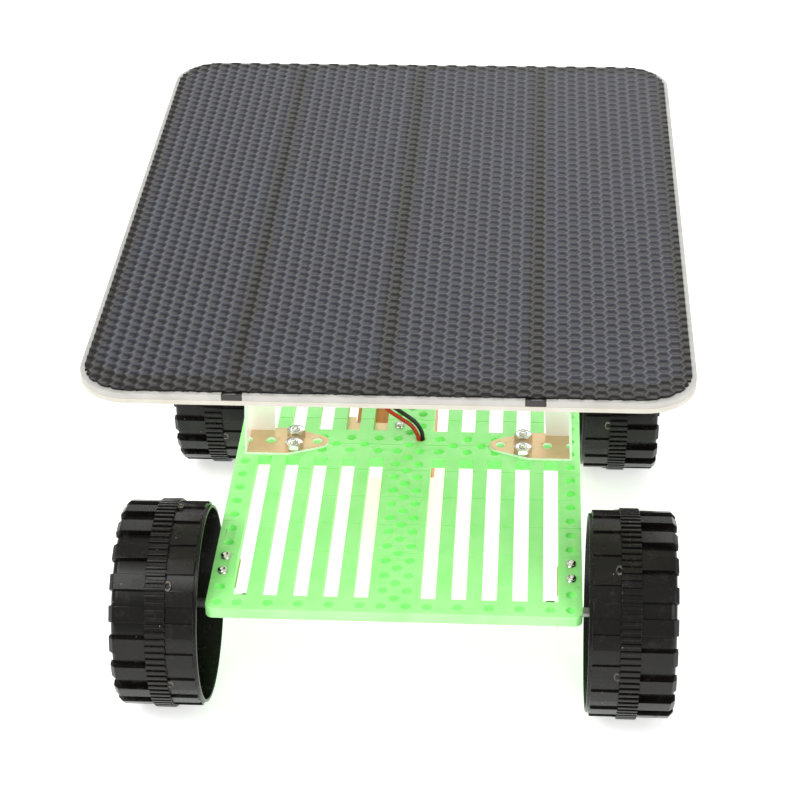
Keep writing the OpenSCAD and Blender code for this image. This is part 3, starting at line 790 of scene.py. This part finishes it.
class KIT_OT_film(KitOperator, bpy.types.Operator):
    """Add the embossed honeycomb film of the panel"""

    bl_idname = "kit.film"
    bl_label = "Honeycomb film"

    def one_cell(self, sizes, top):
        """One pit: a flat-topped hexagon with its inner rings pushed down."""
        deselect()
        bpy.ops.mesh.primitive_circle_add(
            vertices=6, radius=sizes.cell_pitch / 1.5 * MM, fill_type="NGON",
            location=(0, 0, top * MM), rotation=(0, 0, math.pi / 6),
        )
        cell = settle(bpy.context.active_object)
        edit(cell)
        row_share = sizes.cell_row / (2 * sizes.cell_pitch / 1.5 * math.cos(math.pi / 6))
        bpy.ops.transform.resize(value=(1, row_share, 1), center_override=(0, 0, 0))
        for inset, drop in ((0.1, 0.05), (0.15, 0.2), (0.22, 0.33), (0.26, 0.26)):
            bpy.ops.mesh.inset(thickness=inset * MM, depth=0, use_boundary=True)
            bpy.ops.transform.translate(value=(0, 0, -drop * sizes.film_relief * MM))
        bpy.ops.mesh.poke(offset=-0.12 * sizes.film_relief * MM)
        deselect()
        return cell

    def field(self, cell, sizes, half_x, half_y):
        """Arrays the cell over the whole panel, every second column half a cell along."""
        columns = 2 * math.ceil(half_x / sizes.cell_pitch / 2) + 1
        rows = 2 * math.ceil(half_y / sizes.cell_row) + 2
        shifted = copied(cell, (sizes.cell_pitch, sizes.cell_row / 2, 0))
        pair = joined("film", cell, shifted)
        across, along = (2 * sizes.cell_pitch, 0, 0), (0, sizes.cell_row, 0)
        for count, step in ((columns, across), (rows, along)):
            array = pair.modifiers.new("Field", "ARRAY")
            array.count = count
            array.use_relative_offset = False
            array.use_constant_offset = True
            array.constant_offset_displace = Vector(step) * MM
            array.use_merge_vertices = True
            array.merge_threshold = 0.01 * MM
            pick(pair)
            bpy.ops.object.modifier_apply(modifier=array.name)
        middle = Vector(((columns - 1) * sizes.cell_pitch, (rows - 1) / 2 * sizes.cell_row, 0))
        pair.data.transform(Matrix.Translation(-middle * MM))
        edit(pair)
        bpy.ops.mesh.remove_doubles(threshold=0.01 * MM)
        deselect()
        return pair

    def trim(self, film, sizes, half_x, half_y, radius):
        """Drops the cells outside the outline and draws the rest in, a little ragged at the front."""
        chance = random.Random(5)
        # How near the front or rear edge a rim point counts as lying on it
        margin = sizes.cell_row * 0.8

        def outside(face):
            centre = face.calc_center_median() / MM
            near = outline_reach(centre.x, centre.y, half_x, half_y, radius)
            return (Vector(near) - centre.xy).length > 0.02

        edit(film)
        select_where(film, "FACE", outside)
        bpy.ops.mesh.delete(type="FACE")
        mesh = bmesh.from_edit_mesh(film.data)
        for vert in mesh.verts:
            x, y = outline_reach(vert.co.x / MM, vert.co.y / MM, half_x, half_y, radius)
            vert.co.x, vert.co.y = x * MM, y * MM
        for edge in [e for e in mesh.edges if e.is_boundary]:
            for vert in edge.verts:
                x, y = vert.co.x / MM, vert.co.y / MM
                if abs(x) < half_x - radius and abs(y) > half_y - margin:
                    y = math.copysign(half_y, y)
                    if y < 0:
                        y -= chance.uniform(*FILM_STRAY)
                elif abs(y) < half_y - radius:
                    x = math.copysign(half_x, x)
                vert.co.x, vert.co.y = x * MM, y * MM
        bmesh.update_edit_mesh(film.data)
        deselect()

    def skirt(self, film, bottom):
        """Draws the rim down to the board and closes the underside."""
        edit(film)
        bpy.ops.mesh.remove_doubles(threshold=0.01 * MM)
        select_where(film, "EDGE", lambda edge: edge.is_boundary)
        bpy.ops.mesh.extrude_region_move(TRANSFORM_OT_translate={"value": (0, 0, 0)})
        mesh = bmesh.from_edit_mesh(film.data)
        for vert in mesh.verts:
            if vert.select:
                vert.co.z = bottom * MM
        bmesh.update_edit_mesh(film.data)
        bpy.ops.mesh.edge_face_add()
        deselect()

    def paint(self, film):
        """The cells' faces take the first finish, and the bands between and round them the second."""
        strips = [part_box(f"cell_strip_{i}") for i in (1, 2, 3, 4)]
        low_x, high_x = strips[0][0].x, strips[-1][1].x
        for face in film.data.polygons:
            centre = face.center
            on_cells = any(
                low.x < centre.x < high.x and low.y < centre.y < high.y for low, high in strips
            )
            into_corner = min(centre.x - low_x, high_x - centre.x) + min(
                centre.y - strips[0][0].y, strips[0][1].y - centre.y
            )
            face.material_index = 0 if on_cells and into_corner > CELL_CORNER_CUT * MM else 1

    def execute(self, context):
        sizes = context.scene.kit_sizes
        half_x, half_y = FILM_HIGH.x, FILM_HIGH.y
        film = self.field(self.one_cell(sizes, FILM_HIGH.z), sizes, half_x, half_y)
        self.trim(film, sizes, half_x, half_y, FILM_RADIUS)
        self.skirt(film, FILM_LOW.z)
        close_up(film)
        film.name = "honeycomb_film"
        smooth(film, 50)
        dress(film, "chassis", ["film_cells", "film_border"], ["panel_cover"])
        self.paint(film)
        return {"FINISHED"}


class KIT_OT_panel(KitOperator, bpy.types.Operator):
    """Add the panel's boards, ribbon ends, junction cap and tape"""

    bl_idname = "kit.panel"
    bl_label = "Panel boards"

    def execute(self, context):
        board = smooth(soften(from_cad("panel_base", "base_board"), 0.12))
        dress(board, "chassis", ["board"], ["panel_base"])
        core = smooth(soften(from_cad("panel_core", "core_board"), 0.15))
        dress(core, "chassis", ["laminate"], ["panel_core"])
        for side in SIDES:
            ribbon = smooth(soften(from_cad(f"ribbon_end_{side}", f"ribbon_{side}"), 0.2))
            dress(ribbon, "chassis", ["ribbon"], [f"ribbon_end_{side}"])
            pad = smooth(soften(from_cad(f"foam_pad_{side}", f"tape_{side}"), 0.15))
            dress(pad, "chassis", ["foam"], [f"foam_pad_{side}"])
        cap = smooth(soften(from_cad("junction_cap", "lead_cap"), 0.5, 3))
        dress(cap, "chassis", ["nylon_black"], ["junction_cap"])
        dress_nodes("silicon", *[f"cell_strip_{i}" for i in (1, 2, 3, 4)])
        return {"FINISHED"}


# ---- Sheet metal and fasteners ----


class KIT_OT_brackets(KitOperator, bpy.types.Operator):
    """Add the panel, axle and motor brackets"""

    bl_idname = "kit.brackets"
    bl_label = "Sheet brackets"

    def execute(self, context):
        edge = context.scene.kit_sizes.sheet_edge
        nodes = [f"panel_bracket_{side}" for side in SIDES]
        nodes += [f"axle_bracket_{corner}" for corner in CORNERS] + ["motor_bracket"]
        for node in nodes:
            sheet = smooth(soften(from_cad(node, f"{node}_sheet"), edge))
            dress(sheet, "chassis", ["zinc"], [node])
        return {"FINISHED"}


def screw_piece(length):
    """A cross-head screw standing on its head at the origin, its thread drawn as rings."""
    stations = [(-HEAD_H, HEAD_R - 0.7), (-HEAD_H + 0.12, HEAD_R - 0.3)]
    stations += [(-HEAD_H + 0.45, HEAD_R), (0, HEAD_R), (0, SCREW_R)]
    turns = int((length - 0.3) / THREAD_PITCH)
    for i in range(turns):
        place = 0.1 + i * THREAD_PITCH
        stations += [(place, SCREW_R), (place + THREAD_PITCH / 2, SCREW_R - THREAD_DEPTH)]
    stations += [
        (length - 0.25, SCREW_R), (length - 0.06, SCREW_R - 0.22), (length, SCREW_R - 0.45),
        (length - 0.1, SCREW_R - 0.6),
    ]
    body = turned(stations, (0, 0, 0), "Z", 32)
    for half_x, half_y in ((CROSS_REACH, CROSS_HALF_W), (CROSS_HALF_W, CROSS_REACH)):
        slot = block(
            (-half_x, -half_y, -HEAD_H - CROSS_DEPTH), (half_x, half_y, -HEAD_H + CROSS_DEPTH)
        )
        cut = body.modifiers.new("Slot", "BOOLEAN")
        cut.object = slot
        cut.operation = "DIFFERENCE"
        pick(body)
        bpy.ops.object.modifier_apply(modifier=cut.name)
        bpy.data.objects.remove(slot)
    return body


def placed(piece, x, y, z):
    """Moves a piece modelled at the origin to its place."""
    piece.data.transform(Matrix.Translation(Vector((x, y, z)) * MM))
    return piece


class KIT_OT_fasteners(KitOperator, bpy.types.Operator):
    """Add the screws and nuts"""

    bl_idname = "kit.fasteners"
    bl_label = "Screws and nuts"

    def pair(self, node, name, slot, make, share=1.0):
        """Two like pieces at the ends of a node's box along Y; share is one's depth over its width."""
        low, high = (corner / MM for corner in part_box(node))
        x = (low.x + high.x) / 2
        half = (high.x - low.x) / 2 * share
        centres = [low.y + half, high.y - half]
        pieces = [placed(make(high.z - low.z), x, y, low.z) for y in centres]
        made = smooth(joined(name, *pieces), 40)
        return dress(made, "chassis", ["nickel"], [node])

    def screw(self, height):
        """A screw as high as a node's box, standing on its head."""
        return placed(screw_piece(height - HEAD_H), 0, 0, HEAD_H)

    def nut(self, height):
        """A hexagon nut whose corners are turned off at both ends."""
        radius = NUT_AF / math.cos(math.pi / 6) / 2
        deselect()
        bpy.ops.mesh.primitive_cylinder_add(
            vertices=6, radius=radius * MM, depth=height * MM, location=(0, 0, height / 2 * MM),
            rotation=(0, 0, math.pi / 6),
        )
        nut = settle(bpy.context.active_object)
        cone = turned(
            [(-0.02, radius - 0.3), (0.32, radius + 0.15), (height - 0.32, radius + 0.15),
             (height + 0.02, radius - 0.3)],
            (0, 0, 0), "Z", 48,
        )
        shape = nut.modifiers.new("Chamfer", "BOOLEAN")
        shape.object = cone
        shape.operation = "INTERSECT"
        pick(nut)
        bpy.ops.object.modifier_apply(modifier=shape.name)
        bpy.data.objects.remove(cone)
        edit(nut)
        select_where(nut, "FACE", lambda face: abs(face.normal.z) > 0.99)
        bpy.ops.mesh.inset(thickness=0.75 * MM, depth=0, use_individual=True)
        bpy.ops.mesh.inset(thickness=0.16 * MM, depth=-0.14 * MM, use_individual=True)
        deselect()
        return nut

    def execute(self, context):
        for side in SIDES:
            self.pair(f"panel_screws_{side}", f"foot_screws_{side}", "bright_steel", self.screw)
            self.pair(
                f"panel_nuts_{side}", f"foot_nuts_{side}", "bright_steel", self.nut,
                math.cos(math.pi / 6),
            )
        for corner in CORNERS:
            self.pair(f"axle_screws_{corner}", f"rail_screws_{corner}", "bright_steel", self.screw)
        low, high = (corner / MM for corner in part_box("motor_bracket_screw"))
        centre = (low + high) / 2
        one = placed(self.screw(high.z - low.z), centre.x, centre.y, low.z)
        one.name = "flange_screw"
        dress(smooth(one), "chassis", ["nickel"], ["motor_bracket_screw"])
        dress_nodes("nickel", "gearbox_screws")
        return {"FINISHED"}


# ---- Wheels and axles ----


class KIT_OT_wheels(KitOperator, bpy.types.Operator):
    """Add the four ribbed wheels"""

    bl_idname = "kit.wheels"
    bl_label = "Wheels"

    BAND_FROM = 6.3
    BAND_W = 4.1
    LUG_PHASE = 13
    WINDOW_R = 4.2

    def shell(self, x0, width, y):
        """The turned body: hollow on its inner side, with a hub and a web that has six windows."""
        band_to = self.BAND_FROM + self.BAND_W
        base, inner, lip, mouth = WHEEL_R - 1.7, WHEEL_R - 0.95, WHEEL_R - 1.2, WHEEL_R - 1.8
        rim, hub, groove = base - 1.3, 3.2, WHEEL_R - 0.38
        web, crown = width - 5, width - 0.3
        stations = [
            (4, hub), (web, hub + 0.2), (web, rim - 0.5), (web - 0.5, rim + 0.05), (0.1, mouth),
            (0, mouth + 0.1), (0, lip - 0.1), (0.1, lip), (0.6, lip), (0.62, inner - 0.08),
            (0.7, inner), (self.BAND_FROM, inner), (self.BAND_FROM, groove - 0.1),
            (self.BAND_FROM + 0.1, groove), (band_to - 0.1, groove), (band_to, groove - 0.1),
            (band_to, base), (crown - 1.4, base), (crown - 1, base - 0.06),
            (crown - 0.6, base - 0.22), (crown - 0.3, base - 0.46), (crown - 0.08, base - 0.8),
            (crown, base - 1.05),
            (crown, rim + 0.1), (crown - 0.1, rim), (web + 2, rim), (web + 1.5, rim - 0.5),
            (web + 1.5, hub + 0.2), (width - 1.1, hub), (width - 1, hub - 0.1),
        ]
        shell = turned([(x0 + p, r) for p, r in stations], (0, y, AXLE_Z), "X", 120)
        deselect()
        bpy.ops.mesh.primitive_cylinder_add(
            vertices=40, radius=self.WINDOW_R * MM, depth=4 * MM, rotation=(0, math.pi / 2, 0),
            location=Vector((x0 + web + 1, y + (rim + hub) / 2, AXLE_Z)) * MM,
        )
        windows = around(settle(bpy.context.active_object), 6, y, AXLE_Z, math.pi / 6)
        cut = shell.modifiers.new("Windows", "BOOLEAN")
        cut.object = windows
        pick(shell)
        bpy.ops.object.modifier_apply(modifier=cut.name)
        bpy.data.objects.remove(windows)
        return shell

    def lug(self, low, high, radius, foot, y, shoulder=0.0):
        """One lug pointing along +Y from the axle line, its outer end sloped and its edges round."""
        step = 2 * math.pi / bpy.context.scene.kit_sizes.lugs
        half = radius * math.sin(step / 4)
        lug = block((low, y + foot, AXLE_Z - half), (high, y + radius, AXLE_Z + half))
        if shoulder:
            edit(lug)
            select_where(lug, "EDGE", lambda edge: all(
                abs(v.co.x / MM - high) < 0.01 and abs(v.co.y / MM - y - radius) < 0.01
                for v in edge.verts
            ))
            bpy.ops.mesh.bevel(offset=shoulder * MM, segments=1)
            deselect()
        return soften(lug, 0.16, 2, 30)

    def rib(self, x0, y):
        """One rib of the band, a low bar with a round back."""
        step = 2 * math.pi / bpy.context.scene.kit_sizes.ribs
        half = WHEEL_R * math.sin(step / 2) * 0.56
        low, high = x0 + self.BAND_FROM, x0 + self.BAND_FROM + self.BAND_W
        bar = block((low, y + WHEEL_R - 0.6, AXLE_Z - half), (high, y + WHEEL_R, AXLE_Z + half))
        edit(bar)
        select_where(bar, "EDGE", lambda edge: all(
            abs(v.co.y / MM - y - WHEEL_R) < 0.01 for v in edge.verts
        ))
        bpy.ops.mesh.bevel(offset=0.2 * MM, segments=2)
        deselect()
        return bar

    def flash(self, x0, y):
        """A torn gate mark: a low crumpled ring beside the band."""
        deselect()
        bpy.ops.mesh.primitive_torus_add(
            major_radius=0.85 * MM, minor_radius=0.17 * MM, major_segments=16, minor_segments=6,
            location=(0, 0, 0),
        )
        mark = settle(bpy.context.active_object)
        chance = random.Random(11)
        for vert in mark.data.vertices:
            vert.co.x *= 0.7
            vert.co += Vector([chance.uniform(-0.12, 0.12) * MM for _ in range(3)])
        mark.data.transform(Matrix.Rotation(math.pi / 2, 4, "X"))
        place = Vector((x0 + self.BAND_FROM - 0.45, y + WHEEL_R - 0.55, AXLE_Z)) * MM
        mark.data.transform(Matrix.Translation(place))
        return mark

    def wheel(self, y, flash_at):
        """A right-hand wheel at a place along Y."""
        sizes = bpy.context.scene.kit_sizes
        x0, width = WHEEL_LOW.x, WHEEL_HIGH.x - WHEEL_LOW.x
        band_to = self.BAND_FROM + self.BAND_W
        step = 2 * math.pi / sizes.lugs
        # A part at +Y turns about X to the front through the top, so the phase is taken from there
        phase = math.pi - math.radians(self.LUG_PHASE)
        outer = self.lug(
            x0 + band_to - 0.1, x0 + width, WHEEL_R - 0.5, WHEEL_R - 2.8, y, 0.95
        )
        inner = self.lug(
            x0 + 0.75, x0 + self.BAND_FROM + 0.1, WHEEL_R - 0.55, WHEEL_R - 1.5, y
        )
        parts = [
            self.shell(x0, width, y),
            around(outer, sizes.lugs, y, AXLE_Z, phase),
            around(inner, sizes.lugs, y, AXLE_Z, phase + step / 2),
            around(self.rib(x0, y), sizes.ribs, y, AXLE_Z, phase),
        ]
        marks = around(self.flash(x0, y), 6, y, AXLE_Z, math.pi - math.radians(flash_at))
        return joined("wheel", *parts), marks

    def execute(self, context):
        for end, y in (("front", -AXLE_Y), ("rear", AXLE_Y)):
            for side, flash_at in (("right", 62), ("left", 47)):
                wheel, marks = self.wheel(y, flash_at)
                if side == "left":
                    wheel, marks = mirrored(wheel), mirrored(marks)
                node, body = f"wheel_{end}_{side}", WHEELSET[end]
                wheel.name = f"{node}_tread"
                marks.name = f"{node}_gate_marks"
                dress(smooth(wheel, 32), body, ["abs"], [node])
                dress(smooth(marks), body, ["abs_torn"])
        return {"FINISHED"}


class KIT_OT_axles(KitOperator, bpy.types.Operator):
    """Add the axles and their collars"""

    bl_idname = "kit.axles"
    bl_label = "Axles and collars"

    def execute(self, context):
        for end, y in (("front", -AXLE_Y), ("rear", AXLE_Y)):
            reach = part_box(f"{end}_axle")[1].x / MM
            radius = (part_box(f"{end}_axle")[1].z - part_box(f"{end}_axle")[0].z) / 2 / MM
            rod = turned(
                [(-reach, radius - 0.2), (-reach + 0.2, radius), (reach - 0.2, radius),
                 (reach, radius - 0.2)],
                (0, y, AXLE_Z), "X", 32,
            )
            rod.name = f"{end}_rod"
            dress(smooth(rod), WHEELSET[end], ["drawn_steel"], [f"{end}_axle"])
            for side in SIDES:
                node = f"collar_{end}_{side}"
                ring = smooth(soften(from_cad(node, f"{node}_ring"), 0.25))
                dress(ring, WHEELSET[end], ["nylon_black"], [node])
        return {"FINISHED"}


# ---- Drive ----


class KIT_OT_drive(KitOperator, bpy.types.Operator):
    """Add the gearbox shells and finish the motor and gears"""

    bl_idname = "kit.drive"
    bl_label = "Drive"

    def execute(self, context):
        for side in SIDES:
            node = f"gearbox_shell_{side}"
            shell = smooth(soften(from_cad(node, f"{node}_moulding"), 0.3))
            dress(shell, "chassis", ["orange"], [node])
        dress_nodes("drawn_steel", "motor_can", "motor_shaft", "gear_pin")
        dress_nodes("nylon_black", "motor_end_cap")
        dress_nodes("brass", "motor_terminals", "motor_pinion")
        dress_nodes("acetal", "compound_gear", "axle_gear")
        return {"FINISHED"}


# ---- Panel of the add-on, and the run ----

OPERATORS = (
    KIT_OT_stage, KIT_OT_leads, KIT_OT_plate, KIT_OT_panel, KIT_OT_film, KIT_OT_brackets,
    KIT_OT_fasteners, KIT_OT_wheels, KIT_OT_axles, KIT_OT_drive,
)


class KIT_PT_sidebar(bpy.types.Panel):
    bl_label = "Robot Kit"
    bl_idname = "KIT_PT_sidebar"
    bl_space_type = "VIEW_3D"
    bl_region_type = "UI"
    bl_category = "Robot Kit"

    def draw(self, context):
        for settings in (context.scene.kit_sizes, context.scene.kit_colours):
            for name in settings.bl_rna.properties.keys():
                if name not in ("rna_type", "name"):
                    self.layout.prop(settings, name)
        for operator in OPERATORS:
            self.layout.operator(operator.bl_idname)


CLASSES = (KitSizes, KitColours, *OPERATORS, KIT_PT_sidebar)


def register():
    """Registers the settings, the operators and the panel."""
    for one in CLASSES:
        bpy.utils.register_class(one)
    bpy.types.Scene.kit_sizes = PointerProperty(type=KitSizes)
    bpy.types.Scene.kit_colours = PointerProperty(type=KitColours)


def unregister():
    """Takes them away again."""
    del bpy.types.Scene.kit_colours
    del bpy.types.Scene.kit_sizes
    for one in reversed(CLASSES):
        bpy.utils.unregister_class(one)


def main():
    """Makes every piece in order."""
    register()
    make_materials()
    for operator in OPERATORS:
        group, name = operator.bl_idname.split(".")
        getattr(getattr(bpy.ops, group), name)()


if __name__ == "__main__":
    main()
